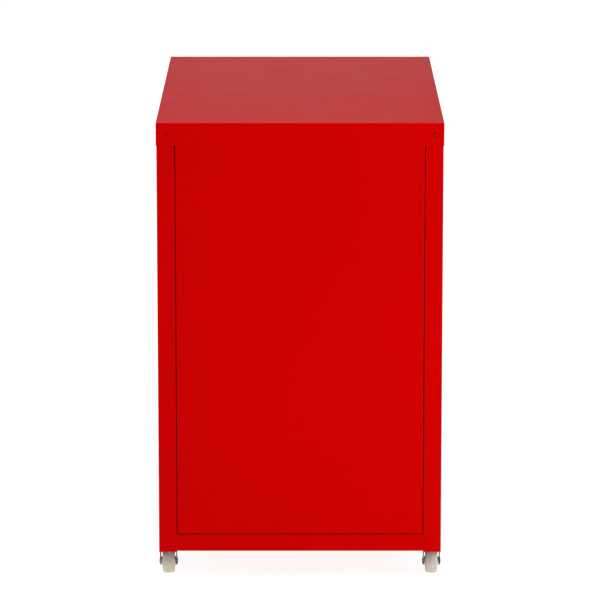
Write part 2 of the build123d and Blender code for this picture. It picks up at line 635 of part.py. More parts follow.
def make_bar_guide(z):
    """Moulded guide on the side panel that the lock bar slides through."""
    top = z + GUIDE_HEIGHT
    guide = block(GUIDE_X0, INNER_X, BASE_FRONT_Y, BAR_BACK_Y + GUIDE_WALL, z, top)
    return guide - block(
        BAR_X0 - GUIDE_PLAY,
        BAR_X1 + GUIDE_PLAY,
        BAR_FRONT_Y - GUIDE_PLAY,
        BAR_BACK_Y + GUIDE_PLAY,
        z - OVER,
        top + OVER,
    )


# ================================================================ casters
def make_caster_bracket(y0, y1, swivel_y):
    """Right-hand angle plate in the foot of the case that holds a caster stem."""
    x0, x1 = COLUMN_X + SHEET + BRACKET_PLAY, INNER_X
    top = BRACKET_BOTTOM + BRACKET_PLATE
    plate = block(x0, x1, y0, y1, BRACKET_BOTTOM, top)
    leg = block(x0, x0 + BRACKET_LEG, y0, y1, BRACKET_BOTTOM, RAIL_TOP - SHEET)
    hole = rod("Z", STEM_R + HOLE_PLAY, BRACKET_BOTTOM - OVER, top + OVER, (CASTER_X, swivel_y))
    return plate + leg - hole


def make_caster_stem(swivel_y):
    """Right-hand stem with its flange and nut, and the rivet head that holds the fork on."""
    at = (CASTER_X, swivel_y)
    rivet_top = CROWN_BOTTOM - SWIVEL_PLAY
    stem = rod("Z", STEM_R, rivet_top, STEM_TOP, at)
    flange = rod("Z", STEM_FLANGE_R, CROWN_TOP + SWIVEL_PLAY, BRACKET_BOTTOM, at)
    rivet = rod("Z", STEM_RIVET_R, rivet_top - STEM_RIVET, rivet_top, at)
    nut = hex_nut(STEM_NUT_FLATS, BRACKET_BOTTOM + BRACKET_PLATE, STEM_NUT_TOP, at)
    return stem + flange + rivet + nut


def make_fork(toward):
    """Swivelling fork about its own stem axis, with its axle a trail's length toward +Y or -Y."""
    thick = CROWN_TOP - CROWN_BOTTOM
    crown = rod("Z", FORK_HALF, CROWN_BOTTOM, CROWN_TOP, (0, 0))
    crown = crown + block(-FORK_HALF, FORK_HALF, 0, CROWN_REACH, CROWN_BOTTOM, CROWN_TOP)
    eye = Pos(TRAIL, WHEEL_R) * Circle(FORK_EYE_R)
    root = Pos(CROWN_REACH - LEG_ROOT / 2, CROWN_TOP - thick / 2) * Rectangle(LEG_ROOT, thick)
    leg = extrude(Plane.YZ * make_hull((eye + root).edges()), FORK_PLATE)
    fork = crown + Pos(FORK_HALF - FORK_PLATE, 0, 0) * leg + Pos(-FORK_HALF, 0, 0) * leg
    fork = rounded(fork, Axis.Y, FORK_PLATE - HOLE_PLAY, low=(-FAR, 0, CROWN_TOP - HOLE_PLAY))
    fork = fork - rod("Z", STEM_R + RUNNING_FIT, CROWN_BOTTOM - OVER, CROWN_TOP + OVER, (0, 0))
    fork = fork - rod("X", AXLE_R + RUNNING_FIT, -FORK_HALF - OVER, FORK_HALF + OVER, (TRAIL, WHEEL_R))
    return fork if toward > 0 else Rot(0, 0, 180) * fork


def make_axle(toward):
    """Riveted axle pin, with a head outside each leg of the fork."""
    at = (toward * TRAIL, WHEEL_R)
    end = FORK_HALF + AXLE_HEAD
    head = rod("X", AXLE_HEAD_R, FORK_HALF, end, at)
    head = fillet(head.faces().sort_by(Axis.X)[-1].edges(), AXLE_HEAD_ROUNDING)
    return rod("X", AXLE_R, -end, end, at) + head + left_of(head)


def make_wheel(toward):
    """One-piece moulded wheel: rounded tread, dished web and a hub."""
    bore = AXLE_R + 2 * RUNNING_FIT
    half = Polyline(
        (HUB_HALF, bore),
        (HUB_HALF, HUB_R),
        (WEB_HALF, WEB_R[0]),
        (WEB_HALF, WEB_R[1]),
        (TREAD_HALF, RIM_R),
        (TREAD_HALF, WHEEL_R),
        (0, WHEEL_R),
        (0, bore),
        close=True,
    )
    profile = make_face(half)
    shoulder = profile.vertices().sort_by(lambda v: v.X + v.Y)[-1]
    solid = revolve(fillet(shoulder, WHEEL_SHOULDER), Axis.X)
    return Pos(0, toward * TRAIL, WHEEL_R) * (solid + left_of(solid))


# ================================================================ write the nodes
save("top_back_cover", make_top_back_cover())
side_panel = make_side_panel()
save("side_panel_right", side_panel)
save("side_panel_left", left_of(side_panel))
save("base_pan", make_base_pan())

uprights = [make_upright(UPRIGHT_FRONT_Y), make_upright(UPRIGHT_REAR_Y)]
save("slide_uprights", *uprights, *[left_of(u) for u in uprights])

case_fasteners = make_cover_screw()
for drawer in DRAWERS:
    for upright_y in (UPRIGHT_FRONT_Y, UPRIGHT_REAR_Y):
        case_fasteners.append(slide_rivet(upright_y, drawer.slide_z))
save("case_fasteners", *case_fasteners, *[left_of(f) for f in case_fasteners], make_lock_nut())

for drawer in DRAWERS:
    members = {
        "slide_outer": make_slide_outer(drawer.slide_z),
        "slide_middle": make_slide_middle(drawer.slide_z),
        "slide_inner": make_slide_inner(drawer.slide_z),
    }
    for member, right in members.items():
        save(f"{drawer.name}_{member}_right", right)
        save(f"{drawer.name}_{member}_left", left_of(right))
    save(f"{drawer.name}_drawer_box", make_drawer_box(drawer))
    save(f"{drawer.name}_drawer_front", make_drawer_front(drawer))
    save(f"{drawer.name}_drawer_pull", make_pull(drawer))
    save(f"{drawer.name}_drawer_catch", make_catch(drawer))
    save(f"{drawer.name}_drawer_fasteners", *drawer_fasteners(drawer))

file_drawer, top_drawer = DRAWERS[0], DRAWERS[2]
save("pencil_tray", make_pencil_tray(top_drawer))
hanging_rail = make_hanging_rail(file_drawer)
save("hanging_rails", hanging_rail, left_of(hanging_rail))

save("lock_body", make_lock_body())
save("lock_plug", make_lock_plug())
save("lock_cam", make_lock_cam())
save("lock_bar", make_lock_bar())
save("lock_bar_guides", *[make_bar_guide(z) for z in GUIDE_BOTTOMS])

front_y0, front_y1 = BASE_FRONT_Y + SHEET + BRACKET_PLAY, FRONT_SWIVEL_Y + BRACKET_REACH
front_bracket = make_caster_bracket(front_y0, front_y1, FRONT_SWIVEL_Y)
rear_y0, rear_y1 = REAR_SWIVEL_Y - BRACKET_REACH, BASE_REAR_Y - BRACKET_PLAY
rear_bracket = make_caster_bracket(rear_y0, rear_y1, REAR_SWIVEL_Y)
brackets = [front_bracket, rear_bracket]
save("caster_brackets", *brackets, *[left_of(b) for b in brackets])
stems = [make_caster_stem(FRONT_SWIVEL_Y), make_caster_stem(REAR_SWIVEL_Y)]
save("caster_stems", *stems, *[left_of(s) for s in stems])

for end, swivel_y, toward in (("front", FRONT_SWIVEL_Y, 1), ("rear", REAR_SWIVEL_Y, -1)):
    for side, swivel_x in (("left", -CASTER_X), ("right", CASTER_X)):
        here = Pos(swivel_x, swivel_y, 0)
        save(f"caster_fork_{end}_{side}", here * make_fork(toward))
        save(f"caster_axle_{end}_{side}", here * make_axle(toward))
        save(f"caster_wheel_{end}_{side}", here * make_wheel(toward))
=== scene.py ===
import json
from math import cos, pi, radians, sin

import bmesh
import bpy
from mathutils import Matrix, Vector


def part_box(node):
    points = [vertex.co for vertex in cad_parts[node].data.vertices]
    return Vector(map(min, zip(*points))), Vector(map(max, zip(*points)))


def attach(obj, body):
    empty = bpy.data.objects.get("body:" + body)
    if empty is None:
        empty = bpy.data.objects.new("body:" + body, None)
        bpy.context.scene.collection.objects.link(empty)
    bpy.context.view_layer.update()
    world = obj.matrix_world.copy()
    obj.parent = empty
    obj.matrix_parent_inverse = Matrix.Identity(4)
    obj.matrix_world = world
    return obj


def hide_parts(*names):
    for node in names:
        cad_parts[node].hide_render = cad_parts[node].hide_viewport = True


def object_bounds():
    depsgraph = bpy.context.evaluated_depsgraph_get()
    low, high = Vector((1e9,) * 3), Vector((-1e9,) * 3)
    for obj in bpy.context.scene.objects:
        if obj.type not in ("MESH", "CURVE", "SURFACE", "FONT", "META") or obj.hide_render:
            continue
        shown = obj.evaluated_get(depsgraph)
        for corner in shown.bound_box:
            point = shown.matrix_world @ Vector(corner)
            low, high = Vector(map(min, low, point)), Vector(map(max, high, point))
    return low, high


# A red mobile filing cabinet in a plain studio. Metres. +Z up, the drawers open towards -Y, the
# one-piece back faces +Y, and the camera looks at that back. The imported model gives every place.
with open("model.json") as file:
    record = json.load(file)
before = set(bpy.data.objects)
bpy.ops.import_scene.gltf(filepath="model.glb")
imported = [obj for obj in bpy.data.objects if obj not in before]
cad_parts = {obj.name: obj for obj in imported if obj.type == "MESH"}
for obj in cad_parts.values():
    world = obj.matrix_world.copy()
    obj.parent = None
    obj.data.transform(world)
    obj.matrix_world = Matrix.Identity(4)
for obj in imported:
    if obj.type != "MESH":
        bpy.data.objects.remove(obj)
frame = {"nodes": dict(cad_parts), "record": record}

SIDES = {"left": -1, "right": 1}
ENDS = {"front": 1, "rear": -1}  # the way each pair of casters trails along Y
DRAWERS = ("file", "middle", "top")


# ================================================================ start and places
def clear_startup_objects():
    """Remove Blender's own cube, lamp and camera."""
    for name in ("Cube", "Light", "Camera"):
        if name in bpy.data.objects:
            bpy.data.objects.remove(bpy.data.objects[name])


def middle_of(node):
    """The middle of a CAD node's box."""
    low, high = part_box(node)
    return (low + high) / 2


clear_startup_objects()
cad_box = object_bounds()
LOW, HIGH = Vector(cad_box[0]), Vector(cad_box[1])
TOP_Z = HIGH.z
BACK_Y = HIGH.y


# ================================================================ material helpers
class Paintbox:
    """A new material with its shader, and short ways to add the nodes that feed it."""

    def __init__(self, name, stretch=(1, 1, 1)):
        self.material = bpy.data.materials.new(name)
        self.material.use_nodes = True
        self.tree = self.material.node_tree
        self.shader = self.tree.nodes["Principled BSDF"]
        coordinates = self.tree.nodes.new("ShaderNodeTexCoord")
        mapping = self.tree.nodes.new("ShaderNodeMapping")
        mapping.inputs["Scale"].default_value = stretch
        self.link(coordinates.outputs["Object"], mapping.inputs["Vector"])
        self.place = mapping.outputs["Vector"]

    def link(self, output, socket):
        self.tree.links.new(output, socket)

    def set(self, **values):
        """Plain values on the shader's own sockets."""
        for key, value in values.items():
            self.shader.inputs[key.replace("_", " ")].default_value = value

    def noise(self, scale, detail=2.0, roughness=0.5):
        texture = self.tree.nodes.new("ShaderNodeTexNoise")
        texture.inputs["Scale"].default_value = scale
        texture.inputs["Detail"].default_value = detail
        texture.inputs["Roughness"].default_value = roughness
        self.link(self.place, texture.inputs["Vector"])
        return texture.outputs[0]

    def cells(self, scale):
        texture = self.tree.nodes.new("ShaderNodeTexVoronoi")
        texture.inputs["Scale"].default_value = scale
        self.link(self.place, texture.inputs["Vector"])
        return texture.outputs[0]

    def spread(self, source, low, high, start=0.3, end=0.7):
        """Maps a texture's useful middle range to a range of values."""
        mapped = self.tree.nodes.new("ShaderNodeMapRange")
        mapped.inputs["From Min"].default_value = start
        mapped.inputs["From Max"].default_value = end
        mapped.inputs["To Min"].default_value = low
        mapped.inputs["To Max"].default_value = high
        self.link(source, mapped.inputs["Value"])
        return mapped.outputs[0]

    def colours(self, source, *stops):
        """Colours along a texture's value. A stop is a position and an RGB colour."""
        ramp = self.tree.nodes.new("ShaderNodeValToRGB")
        elements = ramp.color_ramp.elements
        while len(elements) < len(stops):
            elements.new(0.5)
        for element, (position, colour) in zip(elements, stops):
            element.position = position
            element.color = (*colour, 1)
        self.link(source, ramp.inputs["Fac"])
        self.link(ramp.outputs["Color"], self.shader.inputs["Base Color"])

    def roughness(self, source, low, high):
        self.link(self.spread(source, low, high), self.shader.inputs["Roughness"])

    def bumps(self, *layers):
        """Stacked height textures. A layer is a texture, its depth in metres and its strength."""
        normal = None
        for source, depth, strength in layers:
            bump = self.tree.nodes.new("ShaderNodeBump")
            bump.inputs["Distance"].default_value = depth
            bump.inputs["Strength"].default_value = strength
            self.link(source, bump.inputs["Height"])
            if normal:
                self.link(normal, bump.inputs["Normal"])
            normal = bump.outputs["Normal"]
        self.link(normal, self.shader.inputs["Normal"])


# ================================================================ materials
PURE_RED = (1.0, 0.0, 0.0, 1.0)
WHITE = (1.0, 1.0, 1.0, 1.0)


def red_powder_coat():
    """Saturated red powder coat on sheet steel: fine orange peel over a faintly wavy sheet."""
    paint = Paintbox("red_powder_coat")
    shade = paint.noise(scale=7.0, detail=3.0)
    gloss = paint.noise(scale=22.0, detail=3.0)
    waves = paint.noise(scale=5.0, detail=1.0)
    orange_peel = paint.noise(scale=650.0, detail=2.0)
    paint.colours(shade, (0.3, (0.436, 0.0002, 0.0002)), (0.7, (0.452, 0.0002, 0.0002)))
    paint.roughness(gloss, 0.345, 0.375)
    paint.bumps((waves, 0.002, 0.05), (orange_peel, 0.0002, 0.12))
    paint.set(Specular_Tint=PURE_RED, Specular_IOR_Level=0.5)
    return paint.material


def zinc_steel():
    """Bright zinc plating with a bluish passivation and drawing marks along the metal."""
    zinc = Paintbox("zinc_steel", stretch=(1.0, 0.08, 1.0))
    tint = zinc.noise(scale=60.0, detail=4.0, roughness=0.6)
    gloss = zinc.noise(scale=900.0, detail=3.0)
    grain = zinc.noise(scale=1600.0, detail=2.0)
    bluish, pale, warm = (0.33, 0.375, 0.41), (0.42, 0.445, 0.465), (0.44, 0.435, 0.41)
    zinc.colours(tint, (0.35, bluish), (0.55, pale), (0.7, warm))
    zinc.roughness(gloss, 0.24, 0.4)
    zinc.bumps((grain, 0.00008, 0.25), (tint, 0.0002, 0.1))
    zinc.set(Metallic=1.0)
    return zinc.material


def blue_zinc():
    """The casters' thinner zinc: a bluish passivation that goes brown and dark in places."""
    zinc = Paintbox("caster_blue_zinc", stretch=(1.0, 0.3, 1.0))
    tint = zinc.noise(scale=85.0, detail=4.0, roughness=0.6)
    gloss = zinc.noise(scale=700.0, detail=3.0)
    grain = zinc.noise(scale=1400.0, detail=2.0)
    brown, dark_blue, blue = (0.045, 0.042, 0.036), (0.05, 0.11, 0.15), (0.13, 0.29, 0.36)
    zinc.colours(tint, (0.38, brown), (0.52, dark_blue), (0.68, blue))
    zinc.roughness(gloss, 0.22, 0.38)
    zinc.bumps((grain, 0.00008, 0.25), (tint, 0.0002, 0.1))
    zinc.set(Metallic=1.0)
    return zinc.material


def satin_nickel():
    """Satin nickel plating, with fine brush marks from side to side."""
    nickel = Paintbox("satin_nickel", stretch=(0.06, 1.0, 1.0))
    shade = nickel.noise(scale=90.0, detail=3.0)
    gloss = nickel.noise(scale=2200.0, detail=3.0)
    brush_marks = nickel.noise(scale=2600.0, detail=2.0)
    nickel.colours(shade, (0.3, (0.38, 0.368, 0.35)), (0.7, (0.45, 0.438, 0.415)))
    nickel.roughness(gloss, 0.22, 0.36)
    nickel.bumps((brush_marks, 0.00006, 0.3))
    nickel.set(Metallic=1.0)
    return nickel.material


def wheel_nylon():
    """Beige moulded nylon, a little mottled, with a dull worn tread."""
    nylon = Paintbox("wheel_nylon")
    mottle = nylon.noise(scale=140.0, detail=4.0, roughness=0.6)
    wear = nylon.noise(scale=300.0, detail=3.0)
    grain = nylon.noise(scale=1500.0, detail=3.0)
    dents = nylon.cells(scale=420.0)
    nylon.colours(mottle, (0.3, (0.50, 0.452, 0.37)), (0.7, (0.575, 0.52, 0.425)))
    nylon.roughness(wear, 0.42, 0.62)
    nylon.bumps((grain, 0.0001, 0.35), (dents, 0.0001, 0.12))
    nylon.set(Subsurface_Weight=0.08, Subsurface_Scale=0.002)
    return nylon.material


def black_plastic():
    """Black moulded plastic with a fine spark-eroded texture."""
    plastic = Paintbox("black_plastic")
    shade = plastic.noise(scale=30.0, detail=4.0)
    gloss = plastic.noise(scale=80.0, detail=3.0)
    sparks = plastic.cells(scale=1300.0)
    grain = plastic.noise(scale=2500.0, detail=2.0)
    plastic.colours(shade, (0.3, (0.020, 0.020, 0.021)), (0.7, (0.032, 0.032, 0.034)))
    plastic.roughness(gloss, 0.42, 0.58)
    plastic.bumps((sparks, 0.0002, 0.35), (grain, 0.0001, 0.3))
    return plastic.material


def guide_plastic():
    """Natural white acetal, slightly translucent."""
    acetal = Paintbox("guide_plastic")
    shade = acetal.noise(scale=50.0, detail=3.0)
    gloss = acetal.noise(scale=200.0, detail=3.0)
    grain = acetal.noise(scale=1200.0, detail=2.0)
    acetal.colours(shade, (0.3, (0.68, 0.67, 0.62)), (0.7, (0.76, 0.75, 0.70)))
    acetal.roughness(gloss, 0.3, 0.42)
    acetal.bumps((grain, 0.0001, 0.2))
    acetal.set(Subsurface_Weight=0.15, Subsurface_Scale=0.002)
    return acetal.material


def floor_paint():
    """A plain pale studio floor with a glow of its own, so that shadows on it stay faint."""
    floor = Paintbox("studio_floor")
    shade = floor.noise(scale=0.8, detail=3.0)
    gloss = floor.noise(scale=3.0, detail=3.0)
    floor.colours(shade, (0.3, (0.24, 0.24, 0.24)), (0.7, (0.26, 0.26, 0.26)))
    floor.roughness(gloss, 0.75, 0.85)
    floor.set(Specular_IOR_Level=0.1, Emission_Color=WHITE, Emission_Strength=0.9)
    return floor.material


MATERIALS = {
    "red_powder_coat": red_powder_coat(),
    "zinc_steel": zinc_steel(),
    "satin_nickel": satin_nickel(),
    "wheel_nylon": wheel_nylon(),
    "black_plastic": black_plastic(),
    "guide_plastic": guide_plastic(),
}


def finish_cad_nodes():
    """Give every CAD node the material of its slot."""
    for subpart in frame["record"]["subparts"]:
        data = frame["nodes"][subpart["node"]].data
        data.materials.clear()
        data.materials.append(MATERIALS[subpart["material_slot"]])
    caster_zinc = blue_zinc()
    for end in ENDS:
        for side in SIDES:
            for part in ("fork", "axle"):
                frame["nodes"][f"caster_{part}_{end}_{side}"].data.materials[0] = caster_zinc


finish_cad_nodes()


# ================================================================ mesh helpers
MM = 0.001
CREASE = radians(32)  # faces that meet at more than this keep a sharp edge
ROUND = 64  # points around a turned form
WELD = 0.002 * MM  # points of one piece that are closer than this become one


def turn_by(axis, along, radius, angle):
    """A step from a point on an axis: along the axis, then out from it at an angle. Millimetres."""
    out, up = radius * cos(angle), radius * sin(angle)
    steps = {"X": (along, out, up), "Y": (out, along, up), "Z": (out, up, along)}
    return Vector(steps[axis]) * MM


def circle(axis, centre, along, radius, count=ROUND):
    """Points around an axis through a centre."""
    return [centre + turn_by(axis, along, radius, 2 * pi * i / count) for i in range(count)]


def skin(shell, rings, cap_first=False, cap_last=False):
    """Faces between rings of equally many points, with either end closed by one face."""
    rows = [[shell.verts.new(point) for point in ring] for ring in rings]
    count = len(rows[0])
    for row, following in zip(rows, rows[1:]):
        for i in range(count):
            j = (i + 1) % count
            shell.faces.new((row[i], row[j], following[j], following[i]))
    if cap_first:
        shell.faces.new(rows[0])
    if cap_last:
        shell.faces.new(rows[-1])


def turned(shell, axis, centre, profile, capped=False):
    """A turned form. The profile is (along, radius) in millimetres. Its ends are capped, or else joined."""
    rings = [circle(axis, centre, along, radius) for along, radius in profile]
    if not capped:
        rings.append(rings[0])
    skin(shell, rings, cap_first=capped, cap_last=capped)


def arc(centre, radius, start, end, steps):
    """Points of a (along, radius) profile along a rounded corner. Angles in degrees."""
    turns = [radians(start + (end - start) * i / steps) for i in range(steps + 1)]
    return [(centre[0] + radius * cos(t), centre[1] + radius * sin(t)) for t in turns]


def add_piece(name, shell, body, slot, *stands_for):
    """Make an object of a mesh, with its finish, and let it ride on a body."""
    bmesh.ops.remove_doubles(shell, verts=shell.verts, dist=WELD)
    bmesh.ops.recalc_face_normals(shell, faces=shell.faces)
    mesh = bpy.data.meshes.new(name)
    shell.to_mesh(mesh)
    shell.free()
    mesh.shade_smooth()
    mesh.set_sharp_from_angle(angle=CREASE)
    mesh.materials.append(MATERIALS[slot])
    piece = bpy.data.objects.new(name, mesh)
    bpy.context.scene.collection.objects.link(piece)
    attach(piece, body)
    if stands_for:
        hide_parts(*stands_for)
    return piece


# ================================================================ screws and rivets
CABINET = "cabinet"

# Millimetres. A recess is its depth, the reach of its arms and how softly its edges fall.
SHEET = 0.8
SLIDE_PLATE = 1.2
UPRIGHT_HALF = 14.0  # half the width of an upright along Y
SHANK_R = 1.8
CROSS_HALF = 0.55  # half width of the arms of a cross recess
HEAD_ROWS = 14  # rings from the middle of a screw's head to its rim
HEAD_MIDDLE = 0.01  # the first ring's share of the radius
DOME_ROWS = 10
DOME_POWER = 2.6  # the higher, the flatter a rivet's crown

COVER_SCREW_IN = 12.8  # from the cover's side
COVER_SCREW_DOWN = 16.0  # from the top
COVER_SCREW_SUNK = 0.45
COVER_SCREW_R = 2.6
COVER_SCREW_DOME = 0.4
COVER_SCREW_RECESS = (0.3, 1.2, 0.45)
NUT_BORE_R = 1.85

FRONT_SCREW_X = 153
FRONT_SCREW_THICK = 1.5
FRONT_SCREW_BELOW_SLIDE = 10
FRONT_SCREW_BELOW_RIM = 20
FRONT_SCREW_R = 3.65
FRONT_SCREW_DOME = 0.5
FRONT_SCREW_RECESS = (0.9, 2.0, 0.2)

RIVET_HEAD_R = 4.0
RIVET_TAIL_R = 3.5  # the head that is set inside a drawer
UPRIGHT_RIVET_HEIGHT = 1.2
DRAWER_RIVET_HEIGHT = 1.0
SIDE_RIVET_YS = (-200.0, 120.0)


def soft_step(value):
    """0 below 0, 1 above 1, and a smooth rise between."""
    value = min(max(value, 0.0), 1.0)
    return value * value * (3 - 2 * value)


def cross_recess(u, v, depth, reach, soft):
    """Depth of a cross recess at a point of a screw's head, with soft edges."""
    deepest = 0.0
    for across, along in ((abs(u), abs(v)), (abs(v), abs(u))):
        side = soft_step((CROSS_HALF + soft - across) / soft)
        end = soft_step((reach + soft - along) / (2 * soft))
        deepest = max(deepest, side * end)
    return depth * deepest


def screw_head(shell, centre, radius, dome, recess, skirt):
    """A head that faces +Y: a crowned face with a cross recess, then its skirt and shank behind."""
    rings = []
    for i in range(HEAD_ROWS + 1):
        r = radius * max(i / HEAD_ROWS, HEAD_MIDDLE)
        crown = dome * (1 - (r / radius) ** 2)
        ring = []
        for j in range(ROUND):
            angle = 2 * pi * j / ROUND
            u, v = r * cos(angle), r * sin(angle)
            along = crown - cross_recess(u, v, *recess)
            ring.append(centre + Vector((u, along, v)) * MM)
        rings.append(ring)
    rings += [circle("Y", centre, along, r) for along, r in skirt]
    skin(shell, rings, cap_first=True, cap_last=True)


def domed_head(plate, outward, radius, height):
    """Profile of a rivet's head, from its rim on a plate to its crown."""
    profile = []
    for k in range(DOME_ROWS, 0, -1):
        share = k / DOME_ROWS
        profile.append((plate + outward * height * (1 - share**DOME_POWER), radius * share))
    return profile


def add_cover_screws():
    """The cover's two sunk screws, painted over, so that their recesses are nearly filled."""
    x = HIGH.x - COVER_SCREW_IN * MM
    z = TOP_Z - COVER_SCREW_DOWN * MM
    skirt = [(-0.15, 2.73), (-0.5, 2.78), (-1.1, 2.6), (-1.25, 2.35)]
    skirt += [(-1.35, SHANK_R), (-10.5, SHANK_R)]
    nut = [(-2.9, NUT_BORE_R), (-2.75, 3.4), (-2.9, 3.7), (-3.1, 4.0)]
    nut += [(-6.4, 4.0), (-6.7, 3.7), (-6.7, NUT_BORE_R)]
    for side, sign in SIDES.items():
        head = bmesh.new()
        centre = Vector((sign * x, BACK_Y, z))
        sunk = centre - Vector((0, COVER_SCREW_SUNK * MM, 0))
        screw_head(head, sunk, COVER_SCREW_R, COVER_SCREW_DOME, COVER_SCREW_RECESS, skirt)
        add_piece(f"cover_screw_{side}", head, CABINET, "red_powder_coat", "case_fasteners")
        behind = bmesh.new()
        turned(behind, "Y", centre, nut)
        add_piece(f"cover_screw_nut_{side}", behind, CABINET, "zinc_steel", "case_fasteners")


def add_slide_rivets():
    """Domed rivets that hold the outer slide members to the uprights."""
    low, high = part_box("slide_uprights")
    shell = bmesh.new()
    for drawer in DRAWERS:
        for side, sign in SIDES.items():
            slide_low, slide_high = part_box(f"{drawer}_slide_outer_{side}")
            web = max(abs(slide_low.x), abs(slide_high.x)) - SLIDE_PLATE * MM
            z = (slide_low.z + slide_high.z) / 2
            for y in (low.y + UPRIGHT_HALF * MM, high.y - UPRIGHT_HALF * MM):
                centre = Vector((sign * web, y, z))
                profile = [(sign * 3.9, 1.4), (sign * 3.5, SHANK_R), (0, SHANK_R)]
                profile += domed_head(0, -sign, RIVET_HEAD_R, UPRIGHT_RIVET_HEIGHT)
                turned(shell, "X", centre, profile, capped=True)
    add_piece("slide_rivets", shell, CABINET, "zinc_steel", "case_fasteners")


def add_drawer_fasteners(drawer):
    """Pan-head screws behind the drawer's front, and the rivets of its slides."""
    box_low, box_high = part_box(f"{drawer}_drawer_box")
    slide_z = middle_of(f"{drawer}_slide_inner_left").z
    inner_y = box_low.y + SHEET * MM
    screw_zs = (slide_z - FRONT_SCREW_BELOW_SLIDE * MM, box_high.z - FRONT_SCREW_BELOW_RIM * MM)
    skirt = [(-0.3, 3.8), (-FRONT_SCREW_THICK, 3.8), (-FRONT_SCREW_THICK, SHANK_R), (-6.2, SHANK_R)]
    outer_plate = SHEET + SLIDE_PLATE
    shell = bmesh.new()
    for sign in SIDES.values():
        for z in screw_zs:
            centre = Vector((sign * FRONT_SCREW_X * MM, inner_y + FRONT_SCREW_THICK * MM, z))
            screw_head(shell, centre, FRONT_SCREW_R, FRONT_SCREW_DOME, FRONT_SCREW_RECESS, skirt)
        for y in SIDE_RIVET_YS:
            inner = Vector((sign * (box_high.x - SHEET * MM), y * MM, slide_z))
            profile = domed_head(0, -sign, RIVET_TAIL_R, DRAWER_RIVET_HEIGHT)[::-1]
            profile += [(0, SHANK_R), (sign * outer_plate, SHANK_R)]
            profile += domed_head(sign * outer_plate, sign, RIVET_HEAD_R, DRAWER_RIVET_HEIGHT)
            turned(shell, "X", inner, profile, capped=True)
    body = f"{drawer}_drawer"
    add_piece(f"{drawer}_screws_and_rivets", shell, body, "zinc_steel", f"{drawer}_drawer_fasteners")


# ================================================================ pulls
CORNER_STEPS = 8
PULL_PROUD = 1.2  # the rim in front of the drawer's front


def rounded_ring(middle, half_x, below, above, corner, depth):
    """A rounded rectangle that faces -Y. Millimetres from the middle of a pull's rim."""
    points = []
    for quarter, (sx, z) in enumerate(((1, above), (-1, above), (-1, -below), (1, -below))):
        centre_x = sx * (half_x - corner)
        centre_z = z - corner if z > 0 and quarter < 2 else z + corner
        for i in range(CORNER_STEPS + 1):
            angle = pi / 2 * (quarter + i / CORNER_STEPS)
            x = centre_x + corner * cos(angle)
            z_here = centre_z + corner * sin(angle)
            points.append(middle + Vector((x, depth, z_here)) * MM)
    return points


def add_pull(drawer):
    """Recessed cup pull: a rolled rim, a scooped hollow and a grip lip that fingers hook behind."""
    low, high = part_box(f"{drawer}_drawer_pull")
    middle = Vector((0, low.y + PULL_PROUD * MM, (low.z + high.z) / 2))
    # Each ring is half its width, its reach below and above the middle, its corner and its depth.
    outside = [
        (44.0, 9.0, 9.0, 6.0, 15.9),
        (50.8, 12.4, 12.4, 5.5, 15.2),
        (53.4, 14.5, 14.5, 4.5, 13.0),
        (54.0, 15.0, 15.0, 3.5, 9.0),
        (54.0, 15.0, 15.0, 3.5, 0.0),
    ]
    rim = [
        (58.0, 19.0, 19.0, 5.0, 0.0),
        (58.0, 19.0, 19.0, 5.0, -0.4),
        (57.8, 18.8, 18.8, 4.8, -0.8),
        (57.4, 18.4, 18.4, 4.4, -1.08),
        (56.7, 17.7, 17.7, 3.8, -1.2),
    ]
    mouth = [
        (54.2, 15.2, 3.4, 4.0, -1.2),
        (53.5, 14.5, 2.7, 3.6, -1.08),
        (53.0, 14.0, 2.2, 3.2, -0.75),
        (52.8, 13.8, 2.0, 3.0, -0.2),
        (52.8, 13.8, 2.0, 3.0, 0.0),
    ]
    hollow = [
        (52.8, 13.8, 13.8, 3.0, 0.05),
        (52.8, 13.8, 13.8, 3.0, 6.0),
        (52.3, 13.3, 13.3, 3.5, 9.5),
        (50.6, 11.8, 11.8, 4.5, 12.6),
        (47.4, 9.6, 9.6, 5.5, 14.2),
        (43.0, 7.0, 7.0, 6.0, 14.7),
    ]
    rings = [rounded_ring(middle, *ring) for ring in outside + rim + mouth + hollow]
    shell = bmesh.new()
    skin(shell, rings, cap_first=True, cap_last=True)
    add_piece(f"{drawer}_pull", shell, f"{drawer}_drawer", "satin_nickel", f"{drawer}_drawer_pull")


# ================================================================ lock
LOCK_PROUD = 1.5  # the bezel in front of the lip
LOCK_BORE_R = 6.05
THREAD_R = 9.5
THREAD_ROOT_R = 9.1
THREAD_START = 1.4
THREAD_TURNS = 16
NUT_HOLE_R = 9.6
KEYWAY_HALF_WIDE = 0.9
KEYWAY_HALF_TALL = 4.2
WARD_DEEP = 0.55
RIGHT_WARD = (0.6, 2.0)  # from the middle of the keyway, along Z
LEFT_WARD = (-2.4, -1.0)
KEYWAY_DEPTHS = (-1.2, -1.15, 12.8)


def lock_centre():
    """The lock's axis where it leaves the front lip."""
    low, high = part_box("lock_body")
    return Vector(((low.x + high.x) / 2, low.y + LOCK_PROUD * MM, (low.z + high.z) / 2))


def add_lock_body():
    """Housing with a rolled bezel in front of the lip and a thread behind it."""
    profile = [(-1.2, LOCK_BORE_R), (-LOCK_PROUD, 6.35), (-LOCK_PROUD, 9.9)]
    profile += [*arc((-0.6, 10.6), 0.9, 180, 90, 6), (0.0, 11.5), (0.0, THREAD_R)]
    for turn in range(THREAD_TURNS):
        along = THREAD_START + turn
        profile += [(along, THREAD_R), (along + 0.35, THREAD_ROOT_R), (along + 0.65, THREAD_ROOT_R)]
    profile += [(17.6, THREAD_R), (18.0, THREAD_ROOT_R), (18.0, LOCK_BORE_R)]
    shell = bmesh.new()
    turned(shell, "Y", lock_centre(), profile)
    add_piece("lock_housing", shell, CABINET, "satin_nickel", "lock_body")


